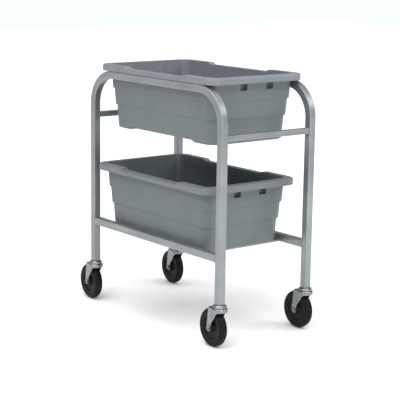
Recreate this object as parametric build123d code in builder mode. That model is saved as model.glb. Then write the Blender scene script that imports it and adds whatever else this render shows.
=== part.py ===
"""Two-tier tub rack on four swivel casters: a bent square-tube frame, two lift-out tubs and its wheels.

Millimetres. The floor is z = 0, +Z is up, X runs along the tubs' long sides and Y across them.
The origin is the middle of the footprint. Names: front is -Y, back is +Y, left is -X, right is +X.
"""

import os

from build123d import *

os.makedirs("parts", exist_ok=True)

# ---- driving dimensions -------------------------------------------------------------------------
# frame
tube = 25.4                 # one inch square tube
tube_wall = 1.65
tube_corner = 2.5
leg_spacing_x = 714.0       # between leg centre lines, along the tubs
leg_spacing_y = 370.0       # between leg centre lines, across the tubs
leg_bottom = 146.5
frame_top = 839.5
bend_radius = 109.0         # at the tube's centre line
rail_z = 295.6              # centre of the lower rails
crossbar = 19.05            # three quarter inch square tube
crossbar_z = 678.2
crossbar_corner = 2.0
slat_width = 38.1
slat_thickness = 6.35
slat_x = 220.0
slat_top = 290.5
slat_round = 1.2
weld = 3.0                  # leg length of a fillet weld

# tub
tub_length = 638.0
tub_width = 396.0
tub_height = 219.2
lip_depth = 22.0
lip_corner = 44.0
lip_round = 6.5
skirt_wall = 3.5
base_half = (273.0, 160.0)  # half length and half width of the base
mouth_half = (293.5, 171.2)  # the same, straight under the lip
tier_z = (0.0, 80.5, 137.0, tub_height - lip_depth)
tier_step = 2.0             # how far each tier steps out
tier_corner = (43.0, 37.0, 31.0)
tub_wall = 3.0
foot_depth = 8.0            # the middle of the underside is raised by this much
foot_inner_x = 177.0
saddle_depth = 7.0          # the middle of each long lip is lower by this much
saddle_x = 156.0            # middle of the slope at each end of that low stretch
slope_run = 14.0
pocket_y = (-46.0, 62.5)     # middles of the finger pockets in the tub's right end
pocket_width = 30.0
pocket_drop = 24.6          # from the lip's underside to the pocket's floor
pocket_depth = 18.0
pocket_lead = 8.0           # how far the pocket's front side slants
lip_rib = 2.5
lip_rib_gap = (62.0, 72.0)  # between the ribs along the long lips and along the short ones
crest_round = 9.0           # where the saddle's slopes meet the level stretches
floor_round = 5.0
ledge_round = 0.9
upper_tub_x = -3.0
lower_tub_x = -24.6
rest_gap = 0.3              # between a tub and what it stands on

# caster
wheel_radius = 63.5         # five inch wheel
wheel_width = 29.0
tread_round = 11.0
rim_radius = 47.0           # where the tyre meets the wheel's core
rim_inset = 1.5             # the core's rim is this far inside the tyre's sides
trail = 32.5
crown_radius = 26.0
fork_top = 136.0
fork_sheet = 3.0
fork_half_width = 19.5
crown_skirt = 13.0
arm_tip = 11.0
axle_radius = 4.0
sleeve_radius = 6.35
hub_half_width = 16.0
race_radius = 22.5
stem_radius = 5.55
stem_top = 182.0
ball_radius = 3.175
ball_circle = 17.0
ball_count = 15
running = 0.05              # radial clearance of a turning fit
swivel = {                  # side in X, side in Y, how far the caster is turned
    "front_left": (-1, -1, -4.0),
    "front_right": (1, -1, -3.5),
    "back_right": (1, 1, -1.5),
    "back_left": (-1, 1, -5.0),
}

# ---- places worked out from them ----------------------------------------------------------------
leg_x, leg_y = leg_spacing_x / 2, leg_spacing_y / 2
rack_x = trail              # every wheel trails to the left, so this centres the footprint
lip_z = tub_height - lip_depth


def save(shape, name):
    """Label a finished piece and write it to its own file."""
    shape.label = name
    export_step(shape, f"parts/{name}.step")


# ---- frame --------------------------------------------------------------------------------------
for side, y in (("front", -leg_y), ("back", leg_y)):
    with BuildPart() as side_frame:
        with BuildLine(Plane((rack_x, y, 0), x_dir=(1, 0, 0), z_dir=(0, -1, 0))) as bend:
            top = frame_top - tube / 2
            FilletPolyline(
                (-leg_x, leg_bottom), (-leg_x, top), (leg_x, top), (leg_x, leg_bottom),
                radius=bend_radius,
            )
        with BuildSketch(Plane((rack_x - leg_x, y, leg_bottom))):
            RectangleRounded(tube, tube, tube_corner)
            RectangleRounded(
                tube - 2 * tube_wall, tube - 2 * tube_wall, tube_corner - tube_wall,
                mode=Mode.SUBTRACT,
            )
        sweep(path=bend.wires()[0])
    save(side_frame.part, f"{side}_side_frame")

    with BuildPart() as rail:
        with BuildSketch(Plane((rack_x, y, rail_z), x_dir=(0, 1, 0), z_dir=(1, 0, 0))):
            RectangleRounded(tube, tube, tube_corner)
            RectangleRounded(
                tube - 2 * tube_wall, tube - 2 * tube_wall, tube_corner - tube_wall,
                mode=Mode.SUBTRACT,
            )
        extrude(amount=leg_x - tube / 2, both=True)
    save(rail.part, f"{side}_lower_rail")

for side, x in (("left", -1), ("right", 1)):
    with BuildPart() as end_bar:
        with BuildSketch(Plane((rack_x + x * leg_x, 0, crossbar_z), x_dir=(1, 0, 0), z_dir=(0, -1, 0))):
            RectangleRounded(crossbar, crossbar, crossbar_corner)
            RectangleRounded(
                crossbar - 2 * tube_wall, crossbar - 2 * tube_wall, crossbar_corner - tube_wall,
                mode=Mode.SUBTRACT,
            )
        extrude(amount=leg_y - tube / 2, both=True)
    save(end_bar.part, f"{side}_crossbar")

    with BuildPart() as slat:
        with BuildSketch(Plane((rack_x + x * slat_x, 0, slat_top - slat_thickness))):
            Rectangle(slat_width, leg_spacing_y - tube)
        extrude(amount=slat_thickness)
        fillet(slat.edges().filter_by(Axis.Y), slat_round)
    save(slat.part, f"{side}_tub_slat")

# Fillet welds. Each is a three-sided bar that fills the corner where two members meet.
with BuildPart() as rail_welds:
    with BuildSketch(Plane((rack_x, -leg_y, rail_z), x_dir=(1, 0, 0), z_dir=(0, -1, 0))):
        with BuildLine():
            corner_x, corner_z = leg_x - tube / 2, tube / 2
            Polyline(
                (corner_x, corner_z), (corner_x - weld, corner_z), (corner_x, corner_z + weld),
                close=True,
            )
        make_face()
        mirror(about=Plane.XZ)
        mirror(about=Plane.YZ)
    extrude(amount=tube / 2 - tube_corner, both=True)
    mirror(about=Plane.XZ)
save(rail_welds.part, "rail_welds")

with BuildPart() as crossbar_welds:
    with BuildSketch(Plane((rack_x + leg_x, 0, crossbar_z), x_dir=(0, 1, 0), z_dir=(1, 0, 0))):
        with BuildLine():
            corner_y, corner_z = leg_y - tube / 2, crossbar / 2
            Polyline(
                (corner_y, corner_z), (corner_y - weld, corner_z), (corner_y, corner_z + weld),
                close=True,
            )
        make_face()
        mirror(about=Plane.XZ)
        mirror(about=Plane.YZ)
    extrude(amount=crossbar / 2 - crossbar_corner, both=True)
    mirror(about=Plane.YZ.offset(rack_x))
save(crossbar_welds.part, "crossbar_welds")

with BuildPart() as slat_welds:
    for x in (-slat_x, slat_x):
        with BuildSketch(Plane((rack_x + x, 0, slat_top), x_dir=(0, 1, 0), z_dir=(1, 0, 0))):
            with BuildLine():
                corner_y = leg_y - tube / 2
                Polyline((corner_y, 0), (corner_y - weld, 0), (corner_y, weld), close=True)
            make_face()
            mirror(about=Plane.YZ)
        extrude(amount=slat_width / 2 - weld, both=True)
save(slat_welds.part, "slat_welds")


# ---- tubs ---------------------------------------------------------------------------------------
def tier_half(z, level):
    """Half length and half width of the tub's outside at height z, on tier 0, 1 or 2."""
    share = z / tier_z[-1]
    return [
        base + level * tier_step + share * (mouth - base - 2 * tier_step)
        for base, mouth in zip(base_half, mouth_half)
    ]


def tier(z_low, z_high, level, inset=0.0):
    """One tier of the tub: a loft between two rounded rectangles."""
    with BuildPart() as block:
        for z in (z_low, z_high):
            half_x, half_y = tier_half(z, level)
            with BuildSketch(Plane.XY.offset(z)):
                RectangleRounded(
                    2 * (half_x - inset), 2 * (half_y - inset), tier_corner[level] - inset
                )
        loft()
    return block.part


def across(half_x, z_wide, z_narrow):
    """A trapezoid in the XZ plane with sloping ends, run right across the tub."""
    slope = slope_run / 2
    with BuildPart() as block:
        with BuildSketch(Plane.XZ):
            with BuildLine():
                Polyline(
                    (-half_x - slope, z_wide), (half_x + slope, z_wide),
                    (half_x - slope, z_narrow), (-half_x + slope, z_narrow), close=True,
                )
            make_face()
        extrude(amount=tub_width, both=True)
    return block.part


def pocket(face_x, wall=0.0):
    """The hollow of a finger pocket, or with a wall its outside, about the pocket's middle."""
    inner_x, side_y = mouth_half[0] - pocket_depth - wall, pocket_width / 2 + wall
    with BuildPart() as block:
        with BuildSketch(Plane.XY.offset(lip_z - tub_wall + wall)):
            with BuildLine():
                Polyline(
                    (face_x, -side_y), (face_x, side_y), (inner_x, side_y),
                    (inner_x, pocket_lead - side_y), close=True,
                )
            make_face()
        extrude(amount=tub_wall - pocket_drop - 2 * wall)
    return block.part


saddle = across(saddle_x, tub_height, tub_height - saddle_depth)
arch = across(foot_inner_x, 0, foot_depth)

with BuildPart() as cavity:
    add(tier(tub_wall, tier_z[1] + tub_wall, 0, inset=tub_wall))
    fillet(cavity.edges().group_by(Axis.Z)[0], floor_round)
    add(tier(tier_z[1] + tub_wall, tier_z[2] + tub_wall, 1, inset=tub_wall))
    add(tier(tier_z[2] + tub_wall, tub_height, 2, inset=tub_wall))
    add(arch.moved(Location((0, 0, tub_wall))), mode=Mode.SUBTRACT)

with BuildPart() as lip:
    with BuildSketch(Plane.XY.offset(lip_z)):
        RectangleRounded(tub_length, tub_width, lip_corner)
    extrude(amount=lip_depth)
    add(saddle, mode=Mode.SUBTRACT)
    crests = lip.edges().filter_by(Axis.Y).filter_by_position(Axis.X, -tub_width / 2, tub_width / 2)
    fillet(crests, crest_round)
    rim = lip.edges().filter_by(
        lambda edge: edge.center().Z > tub_height - saddle_depth - 1
        and (abs(edge.center().Y) > 1 or abs(edge.center().X) > tub_width / 2)
    )
    fillet(rim, lip_round)

with BuildPart() as lip_channel:
    # the hollow under the lip: lower along the saddle, and broken up by ribs
    with BuildSketch(Plane.XY.offset(lip_z)):
        RectangleRounded(
            tub_length - 2 * skirt_wall, tub_width - 2 * skirt_wall, lip_corner - skirt_wall
        )
        RectangleRounded(2 * mouth_half[0], 2 * mouth_half[1], tier_corner[2], mode=Mode.SUBTRACT)
    extrude(amount=lip_depth - tub_wall)
    add(saddle.moved(Location((0, 0, -tub_wall))), mode=Mode.SUBTRACT)
    with GridLocations(lip_rib_gap[0], tub_width, 9, 2):
        Box(lip_rib, tub_width / 2, 3 * tub_height, mode=Mode.SUBTRACT)
    with GridLocations(tub_length, lip_rib_gap[1], 2, 4):
        Box(tub_length / 3, lip_rib, 3 * tub_height, mode=Mode.SUBTRACT)

with BuildPart() as tub:
    add(tier(tier_z[0], tier_z[1], 0))
    fillet(tub.edges().group_by(Axis.Z)[0], floor_round + tub_wall)
    add(tier(tier_z[1], tier_z[2], 1))
    add(tier(tier_z[2], tier_z[3], 2))
    for z in tier_z[1:3]:
        fillet(tub.edges().filter_by_position(Axis.Z, z - 0.1, z + 0.1), ledge_round)
    add(lip.part)
    add(cavity.part, mode=Mode.SUBTRACT)
    add(lip_channel.part, mode=Mode.SUBTRACT)
    add(arch, mode=Mode.SUBTRACT)
    within_wall, clear_of_wall = mouth_half[0] - 2.5, mouth_half[0] + 1
    for y in pocket_y:
        add(pocket(within_wall, wall=tub_wall).moved(Location((0, y, 0))))
        add(pocket(clear_of_wall).moved(Location((0, y, 0))), mode=Mode.SUBTRACT)

upper_tub_z = frame_top + rest_gap - lip_z
lower_tub_z = slat_top + rest_gap
for name, x, z in (("upper_tub", upper_tub_x, upper_tub_z), ("lower_tub", lower_tub_x, lower_tub_z)):
    save(tub.part.moved(Location((rack_x + x, 0, z))), name)


# ---- casters ------------------------------------------------------------------------------------
# One caster about its own swivel axis, trailing towards -X, then four placed copies.
axle = Plane((-trail, 0, wheel_radius), x_dir=(1, 0, 0), z_dir=(0, -1, 0))
wheel_section = Plane(axle.origin)
wheel_axis = Axis(axle.origin, (0, 1, 0))
crown_floor = fork_top - fork_sheet
race_ceiling = fork_top + 2 * ball_radius + 2 * running
pin_head = 9.0
pin_head_height = 4.0
pin_chamfer = 1.2
washer_thickness = 1.6
race_shoulder = 3.0         # the race's flat top reaches this far beyond the leg
race_drop = 6.0             # how far its edge curls down
crown_round = 4.5
bolt_head, bolt_head_height, bolt_head_round = 7.0, 5.5, 2.5
bolt_end = 5.0              # beyond the fork's arm
socket_radius, socket_depth = 2.9, 2.5
nut_radius, nut_height = 7.5, 4.5
pin_head_top = crown_floor - washer_thickness - 2 * running

with BuildPart() as leg_plug:
    with BuildSketch(Plane.XY.offset(leg_bottom)):
        RectangleRounded(
            tube - 2 * tube_wall - 2 * running, tube - 2 * tube_wall - 2 * running,
            tube_corner - tube_wall,
        )
        Circle(stem_radius, mode=Mode.SUBTRACT)
    extrude(amount=stem_top - leg_bottom + washer_thickness)

with BuildPart() as kingpin:
    # the stem in the leg, the pin through the crown, and the riveted head under it
    with BuildSketch(Plane.XZ):
        with BuildLine():
            Polyline(
                (0, stem_top), (stem_radius - pin_chamfer, stem_top),
                (stem_radius, stem_top - pin_chamfer), (stem_radius, pin_head_top),
                (pin_head, pin_head_top), (pin_head, pin_head_top - pin_chamfer),
                (pin_head * 2 / 3, pin_head_top - pin_head_height),
                (0, pin_head_top - pin_head_height), close=True,
            )
        make_face()
    revolve(axis=Axis.Z)

with BuildPart() as top_race:
    # a pressed cap that hangs over the fork's crown and hides the balls
    with BuildSketch(Plane.XZ):
        cap_foot, cap_inside = fork_top + 1.0, race_radius - 2.0
        flat_edge, curl_foot = (tube / 2 + race_shoulder, leg_bottom), (race_radius, leg_bottom - race_drop)
        with BuildLine():
            Polyline((stem_radius, race_ceiling), (stem_radius, leg_bottom), flat_edge)
            TangentArc(flat_edge, curl_foot, tangent=(1, 0))
            Polyline(
                curl_foot, (race_radius, cap_foot), (cap_inside, cap_foot),
                (cap_inside, race_ceiling), (stem_radius, race_ceiling),
            )
        make_face()
    revolve(axis=Axis.Z)

with BuildPart() as bearing_balls:
    with Locations((0, 0, fork_top + running + ball_radius)):
        with PolarLocations(ball_circle, ball_count):
            Sphere(ball_radius)

with BuildPart() as thrust_washer:
    with BuildSketch(Plane.XY.offset(pin_head_top)):
        Circle(pin_head + 2)
        Circle(stem_radius + running, mode=Mode.SUBTRACT)
    extrude(amount=washer_thickness)

with BuildPart() as fork:
    # the crown: a round cap over the front, square at the back where the arms leave it
    arm_back = -trail - 3
    for inset, z_high in ((0, fork_top), (fork_sheet, crown_floor)):
        with BuildSketch(Plane.XY.offset(fork_top - crown_skirt)):
            Circle(crown_radius - inset)
            with Locations((arm_back / 2 - inset, 0)):
                Rectangle(-arm_back, 2 * (fork_half_width - inset))
        extrude(amount=z_high - fork_top + crown_skirt, mode=Mode.SUBTRACT if inset else Mode.ADD)
        if not inset:
            fillet(fork.edges().group_by(Axis.Z)[-1], crown_round)
    # the two arms, swept back from the crown to the axle
    with BuildSketch(Plane.XZ.offset(fork_half_width)):
        with BuildLine():
            shoulder_z = fork_top - crown_round - 0.5
            tip_back, tip_front = (-trail - arm_tip, wheel_radius), (-trail + arm_tip, wheel_radius)
            front = (crown_radius * 0.66, fork_top - crown_skirt)
            waist, flare = (-19.0, 80.0), (-2.0, 102.5)     # points on the arm's front edge
            Polyline(front, (front[0], shoulder_z), (arm_back, shoulder_z), tip_back)
            ThreePointArc(tip_back, (-trail, wheel_radius - arm_tip), tip_front)
            Spline(tip_front, waist, flare, front, tangents=[(0, 1), (1, 0.45)])
        make_face()
    extrude(amount=-fork_sheet)
    mirror(about=Plane.XZ)
    with Locations((0, 0, fork_top)):
        Hole(stem_radius + running)
    with BuildSketch(axle):
        Circle(axle_radius)
    extrude(amount=crown_radius, both=True, mode=Mode.SUBTRACT)

with BuildPart() as axle_bolt:
    # a low round head with a sunk middle, on the front side
    with BuildSketch(axle):
        Circle(axle_radius)
    extrude(amount=fork_half_width + bolt_end, both=True)
    chamfer(axle_bolt.edges().group_by(Axis.Y)[-1], pin_chamfer)
    with BuildSketch(axle.offset(fork_half_width)):
        Circle(bolt_head)
    extrude(amount=bolt_head_height)
    fillet(axle_bolt.edges().group_by(Axis.Y)[0], bolt_head_round)
    with BuildSketch(axle.offset(fork_half_width + bolt_head_height)):
        RegularPolygon(socket_radius, 6)
    extrude(amount=-socket_depth, mode=Mode.SUBTRACT)

with BuildPart() as axle_nut:
    with BuildSketch(axle.offset(-fork_half_width)):
        RegularPolygon(nut_radius, 6)
        Circle(axle_radius, mode=Mode.SUBTRACT)
    extrude(amount=-nut_height)

with BuildPart() as axle_sleeve:
    with BuildSketch(axle):
        Circle(sleeve_radius)
        Circle(axle_radius, mode=Mode.SUBTRACT)
    extrude(amount=fork_half_width - fork_sheet, both=True)

with BuildPart() as wheel_core:
    # hub, dished web and rim, turned about the axle
    with BuildSketch(wheel_section):
        with BuildLine():
            # (distance from the axle, distance from the wheel's middle)
            bore, rim_half = sleeve_radius + running, wheel_width / 2 - rim_inset
            Polyline(
                (bore, 0), (bore, hub_half_width), (14.0, hub_half_width), (15.0, hub_half_width - 1),
                (16.0, 8.0), (20.0, 5.5), (34.0, 6.5), (38.5, 9.0), (40.0, rim_half - 0.7),
                (40.7, rim_half), (rim_radius, rim_half), (rim_radius, 0), close=True,
            )
        make_face()
        mirror(about=Plane.XZ)
    revolve(axis=wheel_axis)

with BuildPart() as tyre:
    with BuildSketch(wheel_section):
        with BuildLine():
            half = wheel_width / 2
            Polyline(
                (wheel_radius, 0), (rim_radius, 0), (rim_radius, half - rim_inset),
                (rim_radius + 2.5, half), (wheel_radius - tread_round, half),
            )
            TangentArc(
                (wheel_radius - tread_round, half), (wheel_radius, half - tread_round),
                tangent=(1, 0),
            )
            Line((wheel_radius, half - tread_round), (wheel_radius, 0))
        make_face()
        mirror(about=Plane.XZ)
    revolve(axis=wheel_axis)

caster_pieces = {
    "leg_plug": leg_plug, "kingpin": kingpin, "top_race": top_race, "bearing_balls": bearing_balls,
    "thrust_washer": thrust_washer, "fork": fork, "axle_bolt": axle_bolt, "axle_nut": axle_nut,
    "axle_sleeve": axle_sleeve, "wheel_core": wheel_core, "tyre": tyre,
}
for corner, (side_x, side_y, turn) in swivel.items():
    for piece, shape in caster_pieces.items():
        angle = 0 if piece == "leg_plug" else turn
        place = Location((rack_x + side_x * leg_x, side_y * leg_y, 0), (0, 0, angle))
        save(shape.part.moved(place), f"{corner}_{piece}")
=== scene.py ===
"""Looks of the two-tier tub rack: materials, light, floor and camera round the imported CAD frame."""

import math

import bpy
from mathutils import Matrix, Vector


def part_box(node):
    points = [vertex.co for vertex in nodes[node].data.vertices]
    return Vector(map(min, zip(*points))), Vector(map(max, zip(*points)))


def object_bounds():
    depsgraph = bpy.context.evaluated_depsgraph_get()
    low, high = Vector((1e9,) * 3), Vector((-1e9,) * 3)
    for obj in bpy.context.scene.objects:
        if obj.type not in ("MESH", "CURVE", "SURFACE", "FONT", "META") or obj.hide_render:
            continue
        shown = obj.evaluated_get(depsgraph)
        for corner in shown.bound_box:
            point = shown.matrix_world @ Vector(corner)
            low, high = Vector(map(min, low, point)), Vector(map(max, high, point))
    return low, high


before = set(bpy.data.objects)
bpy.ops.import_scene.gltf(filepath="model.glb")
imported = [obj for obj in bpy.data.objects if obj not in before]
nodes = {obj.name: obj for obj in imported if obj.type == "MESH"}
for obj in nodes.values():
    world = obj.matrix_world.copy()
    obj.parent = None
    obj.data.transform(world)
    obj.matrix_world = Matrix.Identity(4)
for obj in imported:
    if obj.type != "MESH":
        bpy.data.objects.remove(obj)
cad_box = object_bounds()

# ---- places, in metres: read from the frame, and two that its boxes don't give -----------------
side_low, side_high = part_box("front_side_frame")
TUBE = side_high.y - side_low.y
RACK_X = (side_low.x + side_high.x) / 2
LEG_X = (side_high.x - side_low.x - TUBE) / 2
TOP_Z = side_high.z - TUBE / 2
BEND = 0.109                                # the frame tube's bend, at its centre line
LIP_DEPTH = 0.022                           # a tub's lip, from its top down

# ---- numbers that shape the looks ---------------------------------------------------------------
LINES_PER_METRE = 900.0                     # noise cells across a tube, seen as drawing lines
LINES_ALONG = 3.0                           # the same along it, so the lines are long
LIP_PAINTED_LIGHT_FADE = (-0.002, 0.004)                  # where a lip's painted lighter colour, painted light, starts and is full, from its lower edge
INSIDE_PAINTED_LIGHT_FADE = 0.03                          # how far from a tub's middle its painted lighter inside colour, painted light, is full
FLOOR_LEVEL = 0.05                          # what counts as that distance for a face looking up, so that faces looking up are painted lighter too
FLOOR_HALF = 14.0                           # half the floor's side
FLOOR_GAP = 0.0005                          # the floor lies this far below the wheels
SKY_LIGHT, SKY_SEEN = 0.38, 1.0             # strength of the sky as a light, and seen directly
LAMPS_AIM = (0.0, 0.0, 0.5)                 # about the middle of the rack
CAMERA_ANGLES = (51.77, 11.19, 0.85)        # azimuth, elevation and roll, in degrees
CAMERA_DISTANCE = 4.355
CAMERA_AIM = Vector((RACK_X + 0.0037, 0.0075, 0.4065))
SENSOR_WIDTH, FOCAL_LENGTH = 36.0, 113.4    # millimetres


# ---- shader helpers -----------------------------------------------------------------------------
class Shader:
    """A material under construction. add() makes a node and returns one of its outputs, and an output
    given as an input is linked to it, while any other value is set on it."""

    def __init__(self, name):
        self.material = bpy.data.materials.new(name)
        self.material.use_nodes = True
        self.tree = self.material.node_tree
        self.bsdf = self.tree.nodes["Principled BSDF"]

    def put(self, target, key, value):
        if isinstance(value, bpy.types.NodeSocket):
            self.tree.links.new(value, target.inputs[key])
        else:
            target.inputs[key].default_value = value

    def add(self, kind, inputs=(), out=0, **settings):
        made = self.tree.nodes.new("ShaderNode" + kind)
        for key, value in settings.items():
            setattr(made, key, value)
        for key, value in dict(inputs).items():
            self.put(made, key, value)
        return made.outputs[out]

    def surface(self, **inputs):
        """Set or link the Principled shader's inputs, and give the finished material."""
        for key, value in inputs.items():
            self.put(self.bsdf, key.replace("_", " "), value)
        return self.material

    def place(self, scale=(1.0, 1.0, 1.0)):
        """Object coordinates, stretched."""
        at = self.add("TexCoord", out="Object")
        return self.add("Mapping", {"Vector": at, "Scale": scale})

    def axes(self, vector):
        """A vector's X, Y and Z outputs."""
        return self.add("SeparateXYZ", {"Vector": vector}).node.outputs

    def noise(self, vector, scale, detail=3.0, roughness=0.5):
        inputs = {"Vector": vector, "Scale": scale, "Detail": detail, "Roughness": roughness}
        return self.add("TexNoise", inputs, out="Fac")

    def span(self, value, low_out, high_out, low_in=0.3, high_in=0.7):
        """A number carried from one range to another, and kept inside it."""
        ranges = {"From Min": low_in, "From Max": high_in, "To Min": low_out, "To Max": high_out}
        return self.add("MapRange", {"Value": value, **ranges})

    def ramp(self, value, *stops):
        """A colour ramp with a stop at each (position, colour)."""
        made = self.tree.nodes.new("ShaderNodeValToRGB")
        self.put(made, "Fac", value)
        ends = made.color_ramp.elements
        while len(ends) < len(stops):
            ends.new(0.5)
        for end, (position, colour) in zip(ends, stops):
            end.position, end.color = position, (*colour, 1.0)
        return made.outputs["Color"]

    def math(self, operation, a, b=0.0):
        made = self.tree.nodes.new("ShaderNodeMath")
        made.operation = operation
        self.put(made, 0, a)
        self.put(made, 1, b)
        return made.outputs[0]

    def blend(self, a, b, share):
        """The part `share` of a, and the rest of b."""
        first = self.math("MULTIPLY", a, share)
        return self.math("ADD", first, self.math("MULTIPLY", b, round(1.0 - share, 3)))

    def bump(self, height, strength, distance):
        inputs = {"Height": height, "Strength": strength, "Distance": distance}
        return self.add("Bump", inputs, out="Normal")


# ---- materials ----------------------------------------------------------------------------------
def drawn_aluminium(name, across):
    """Satin drawn tube. across(shader) gives a vector that hardly changes along the tube."""
    s = Shader(name)
    lines = s.noise(across(s), 1.0, detail=5.0, roughness=0.65)
    cloud = s.noise(s.place(), 9.0, detail=4.0)
    colour = s.ramp(
        s.blend(lines, cloud, 0.6),
        (0.34, (0.20, 0.222, 0.226)), (0.50, (0.275, 0.298, 0.302)), (0.66, (0.37, 0.392, 0.396)),
    )
    return s.surface(
        Base_Color=colour, Metallic=0.8, Roughness=s.span(s.blend(lines, cloud, 0.5), 0.34, 0.50),
        Normal=s.bump(lines, 0.25, 0.0002),
    )


def bent_tube_lines(s):
    """Across the bent tube: Y, and the distance from the centre of the nearer bend, which is steady
    along a leg, round a bend and along the top."""
    at = s.axes(s.add("TexCoord", out="Object"))
    from_middle = s.math("ABSOLUTE", s.math("SUBTRACT", at["X"], RACK_X))
    past_x = s.math("MAXIMUM", s.math("SUBTRACT", from_middle, LEG_X - BEND), 0.0)
    past_z = s.math("MAXIMUM", s.math("SUBTRACT", at["Z"], TOP_Z - BEND), 0.0)
    squares = s.math("ADD", s.math("MULTIPLY", past_x, past_x), s.math("MULTIPLY", past_z, past_z))
    along_x, along_z = (s.math("MULTIPLY", at[axis], LINES_ALONG) for axis in "XZ")
    return s.add("CombineXYZ", {
        "X": s.math("MULTIPLY", s.math("SQRT", squares), LINES_PER_METRE),
        "Y": s.math("MULTIPLY", at["Y"], LINES_PER_METRE),
        "Z": s.math("ADD", along_x, along_z),
    })


def moulded_tub(name, node, lip_painted_light_share, inside_painted_light_share):
    """Moulded polyethylene. The last two arguments are how much of the lighter colour its lip and
    its inside take, from 0 to 1; that lighter colour is painted light, for the light that falls on the
    lip and into the tub."""
    s = Shader(name)
    lowest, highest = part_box(node)
    lip_bottom = highest.z - LIP_DEPTH
    grain = s.noise(s.place(), 1400.0, detail=2.0)
    cloud = s.noise(s.place(), 7.0, detail=4.0)
    flow = s.noise(s.place((1.0, 1.0, 0.35)), 24.0, detail=5.0, roughness=0.6)
    mix = s.blend(cloud, flow, 0.6)
    # dark is the plastic's own colour; light is a painted lit copy of it, used as painted light on the
    # lip and inside
    dark = s.ramp(
        mix, (0.34, (0.102, 0.129, 0.130)), (0.52, (0.115, 0.142, 0.144)), (0.70, (0.130, 0.156, 0.158))
    )
    light = s.ramp(
        mix, (0.34, (0.154, 0.170, 0.188)), (0.52, (0.172, 0.187, 0.206)), (0.70, (0.190, 0.204, 0.224))
    )
    # painted light: a face is inside when it looks towards the tub's middle, or up, and inside faces and
    # the lip are painted lighter for the light that falls on them
    at = s.axes(s.add("TexCoord", out="Object"))
    facing = s.axes(s.add("NewGeometry", out="Normal"))
    out_x = s.math("MULTIPLY", facing["X"], s.math("SUBTRACT", at["X"], (lowest.x + highest.x) / 2))
    out_y = s.math("MULTIPLY", facing["Y"], at["Y"])
    upwards = s.math("MULTIPLY", facing["Z"], FLOOR_LEVEL)
    inwards = s.math("SUBTRACT", upwards, s.math("ADD", out_x, out_y))
    painted_lip_light = s.span(at["Z"], 0.0, lip_painted_light_share, *(lip_bottom + step for step in LIP_PAINTED_LIGHT_FADE))
    painted_inside_light = s.span(inwards, 0.0, inside_painted_light_share, 0.0, INSIDE_PAINTED_LIGHT_FADE)
    painted_light_mask = s.math("MAXIMUM", painted_lip_light, painted_inside_light)
    colour = s.add("MixRGB", {"Fac": painted_light_mask, "Color1": dark, "Color2": light}, out="Color")
    texture = s.math("ADD", s.math("MULTIPLY", grain, 0.5), s.math("MULTIPLY", flow, 0.8))
    return s.surface(
        Base_Color=colour, Roughness=s.span(flow, 0.38, 0.50), Normal=s.bump(texture, 0.18, 0.0006)
    )


def zinc_plate(name):
    """Bright zinc on pressed steel, slightly cloudy."""
    s = Shader(name)
    cloud = s.noise(s.place(), 60.0, detail=4.0)
    fine = s.noise(s.place(), 420.0, detail=3.0)
    colour = s.ramp(
        cloud, (0.32, (0.18, 0.205, 0.20)), (0.55, (0.25, 0.272, 0.268)), (0.75, (0.31, 0.325, 0.33))
    )
    return s.surface(
        Base_Color=colour, Metallic=1.0, Roughness=s.span(cloud, 0.20, 0.32),
        Normal=s.bump(fine, 0.10, 0.0003),
    )


def plain_steel(name):
    """Plain steel, finely streaked up and down."""
    s = Shader(name)
    fine = s.noise(s.place((1.0, 1.0, 0.1)), 500.0, detail=4.0)
    colour = s.ramp(fine, (0.3, (0.38, 0.38, 0.39)), (0.7, (0.52, 0.52, 0.53)))
    return s.surface(Base_Color=colour, Metallic=1.0, Roughness=s.span(fine, 0.25, 0.38))


def black_rubber(name):
    """Hard rubber with a little dust on it."""
    s = Shader(name)
    fine = s.noise(s.place(), 700.0, detail=3.0)
    dust = s.noise(s.place(), 45.0, detail=5.0, roughness=0.65)
    colour = s.ramp(
        dust, (0.35, (0.006, 0.006, 0.0065)), (0.62, (0.009, 0.009, 0.010)), (0.8, (0.022, 0.021, 0.020))
    )
    return s.surface(
        Base_Color=colour, Roughness=s.span(dust, 0.38, 0.55), Specular_IOR_Level=0.10,
        Normal=s.bump(fine, 0.2, 0.0003),
    )


def black_plastic(name, level):
    """Moulded plastic, finely grained, of about the given brightness."""
    s = Shader(name)
    grain = s.noise(s.place(), 900.0, detail=2.0)
    cloud = s.noise(s.place(), 30.0, detail=4.0)
    dark, light = (level * 0.8,) * 3, (level * 1.25,) * 3
    return s.surface(
        Base_Color=s.ramp(cloud, (0.35, dark), (0.65, light)), Roughness=s.span(cloud, 0.34, 0.46),
        Specular_IOR_Level=0.12, Normal=s.bump(grain, 0.15, 0.0003),
    )


def weld_metal(name):
    """Aluminium weld, brighter than the tubes."""
    s = Shader(name)
    fine = s.noise(s.place(), 300.0, detail=4.0)
    colour = s.ramp(fine, (0.3, (0.46, 0.46, 0.47)), (0.7, (0.64, 0.64, 0.65)))
    return s.surface(Base_Color=colour, Metallic=1.0, Roughness=s.span(fine, 0.28, 0.46))


def straight_lines(stretch):
    """Across a straight tube, as drawn_aluminium wants it."""
    return lambda s: s.place(stretch)


LINES_ALONG_X = straight_lines((LINES_ALONG, LINES_PER_METRE, LINES_PER_METRE))
LINES_ALONG_Y = straight_lines((LINES_PER_METRE, LINES_ALONG, LINES_PER_METRE))

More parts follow.
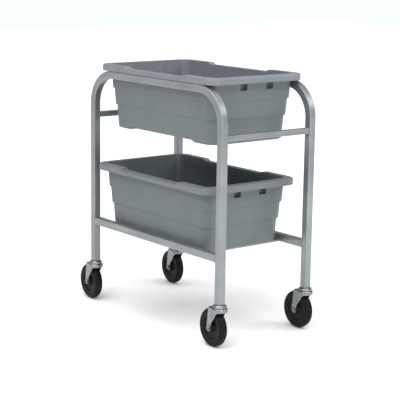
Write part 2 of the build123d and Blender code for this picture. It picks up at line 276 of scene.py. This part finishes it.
# a node takes the finish whose key its name ends with
finish = {
    "side_frame": drawn_aluminium("aluminium_bent", bent_tube_lines),
    "lower_rail": drawn_aluminium("aluminium_along_x", LINES_ALONG_X),
    "crossbar": drawn_aluminium("aluminium_along_y", LINES_ALONG_Y),
    "slat": drawn_aluminium("aluminium_flat", LINES_ALONG_Y),
    "welds": weld_metal("weld_bead"),
    # painted light: the upper tub takes the painted lighter colour in full on its lip and inside; the
    # lower tub, under it, takes less on its lip and none inside
    "upper_tub": moulded_tub("upper_tub_painted_lit_grey", "upper_tub", 1.0, 1.0),
    "lower_tub": moulded_tub("lower_tub_painted_dimmer_grey", "lower_tub", 0.45, 0.0),
    "leg_plug": black_plastic("nylon_plug", 0.03),
    "kingpin": plain_steel("steel_pin"),
    "bearing_balls": plain_steel("steel_ball"),
    "axle_sleeve": plain_steel("steel_sleeve"),
    "top_race": zinc_plate("zinc_race"),
    "thrust_washer": zinc_plate("zinc_washer"),
    "fork": zinc_plate("zinc_fork"),
    "axle_bolt": zinc_plate("zinc_bolt"),
    "axle_nut": zinc_plate("zinc_nut"),
    "wheel_core": black_plastic("wheel_core_black", 0.010),
    "tyre": black_rubber("tyre_black"),
}
for name, obj in nodes.items():
    kind = next(key for key in finish if name.endswith(key))
    obj.data.materials.clear()
    obj.data.materials.append(finish[kind])


# ---- floor, light and camera --------------------------------------------------------------------
def add_lamp(name, kind, power, colour):
    data = bpy.data.lights.new(name, kind)
    data.energy, data.color = power, colour
    lamp = bpy.data.objects.new(name, data)
    bpy.context.scene.collection.objects.link(lamp)
    return lamp


def area_light(name, place, side, power, colour):
    """A square soft box that looks at the middle of the rack."""
    lamp = add_lamp(name, "AREA", power, colour)
    lamp.data.shape, lamp.data.size, lamp.data.size_y = "RECTANGLE", side, side
    lamp.location = place
    lamp.rotation_euler = (Vector(LAMPS_AIM) - Vector(place)).to_track_quat("-Z", "Y").to_euler()


def build_floor():
    white = Shader("studio_white").surface(Base_Color=(0.93, 0.93, 0.93, 1.0), Roughness=0.9)
    corners = [(x * FLOOR_HALF, y * FLOOR_HALF, 0) for x, y in ((-1, -1), (1, -1), (1, 1), (-1, 1))]
    mesh = bpy.data.meshes.new("floor")
    mesh.from_pydata(corners, [], [(0, 1, 2, 3)])
    mesh.materials.append(white)
    floor = bpy.data.objects.new("floor", mesh)
    bpy.context.scene.collection.objects.link(floor)
    floor.location.z = cad_box[0].z - FLOOR_GAP


def build_light():
    """A pale sky, three soft boxes, and a very broad sun for the light from above."""
    world = bpy.data.worlds.new("studio")
    bpy.context.scene.world = world
    world.use_nodes = True
    tree = world.node_tree
    back = tree.nodes["Background"]
    back.inputs["Color"].default_value = (0.95, 1.0, 0.98, 1.0)
    # the sky is seen nearly white, and the light that it gives is dimmer
    path = tree.nodes.new("ShaderNodeLightPath")
    level = tree.nodes.new("ShaderNodeMapRange")
    level.inputs["To Min"].default_value, level.inputs["To Max"].default_value = SKY_LIGHT, SKY_SEEN
    tree.links.new(path.outputs["Is Camera Ray"], level.inputs["Value"])
    tree.links.new(level.outputs["Result"], back.inputs["Strength"])
    area_light("key", (1.05, -2.3, 2.3), 0.9, 16.0, (0.96, 1.0, 0.98))
    area_light("right", (1.9, 1.9, 2.2), 0.9, 18.0, (0.98, 1.0, 1.0))
    area_light("low_right", (3.6, -0.9, 1.05), 0.7, 24.0, (0.98, 1.0, 1.0))
    overhead = add_lamp("overhead", "SUN", 3.4, (1.0, 0.95, 1.0))
    overhead.data.angle = 1.6
    overhead.rotation_euler = (math.radians(14.0), math.radians(10.0), 0.0)


def build_camera():
    azimuth, elevation, roll = (math.radians(angle) for angle in CAMERA_ANGLES)
    level = math.cos(elevation)
    back = Vector((math.sin(azimuth) * level, -math.cos(azimuth) * level, math.sin(elevation)))
    right = Vector((math.cos(azimuth), math.sin(azimuth), 0.0))
    up = back.cross(right)
    turned_right = math.cos(roll) * right + math.sin(roll) * up
    turned_up = math.cos(roll) * up - math.sin(roll) * right
    data = bpy.data.cameras.new("camera")
    data.sensor_width, data.lens = SENSOR_WIDTH, FOCAL_LENGTH
    data.clip_end = 100.0
    camera = bpy.data.objects.new("camera", data)
    bpy.context.scene.collection.objects.link(camera)
    turn = Matrix((turned_right, turned_up, back)).transposed().to_4x4()
    camera.matrix_world = Matrix.Translation(CAMERA_AIM + CAMERA_DISTANCE * back) @ turn
    bpy.context.scene.camera = camera


build_floor()
build_light()
build_camera()
bpy.context.scene.view_settings.view_transform = "Standard"
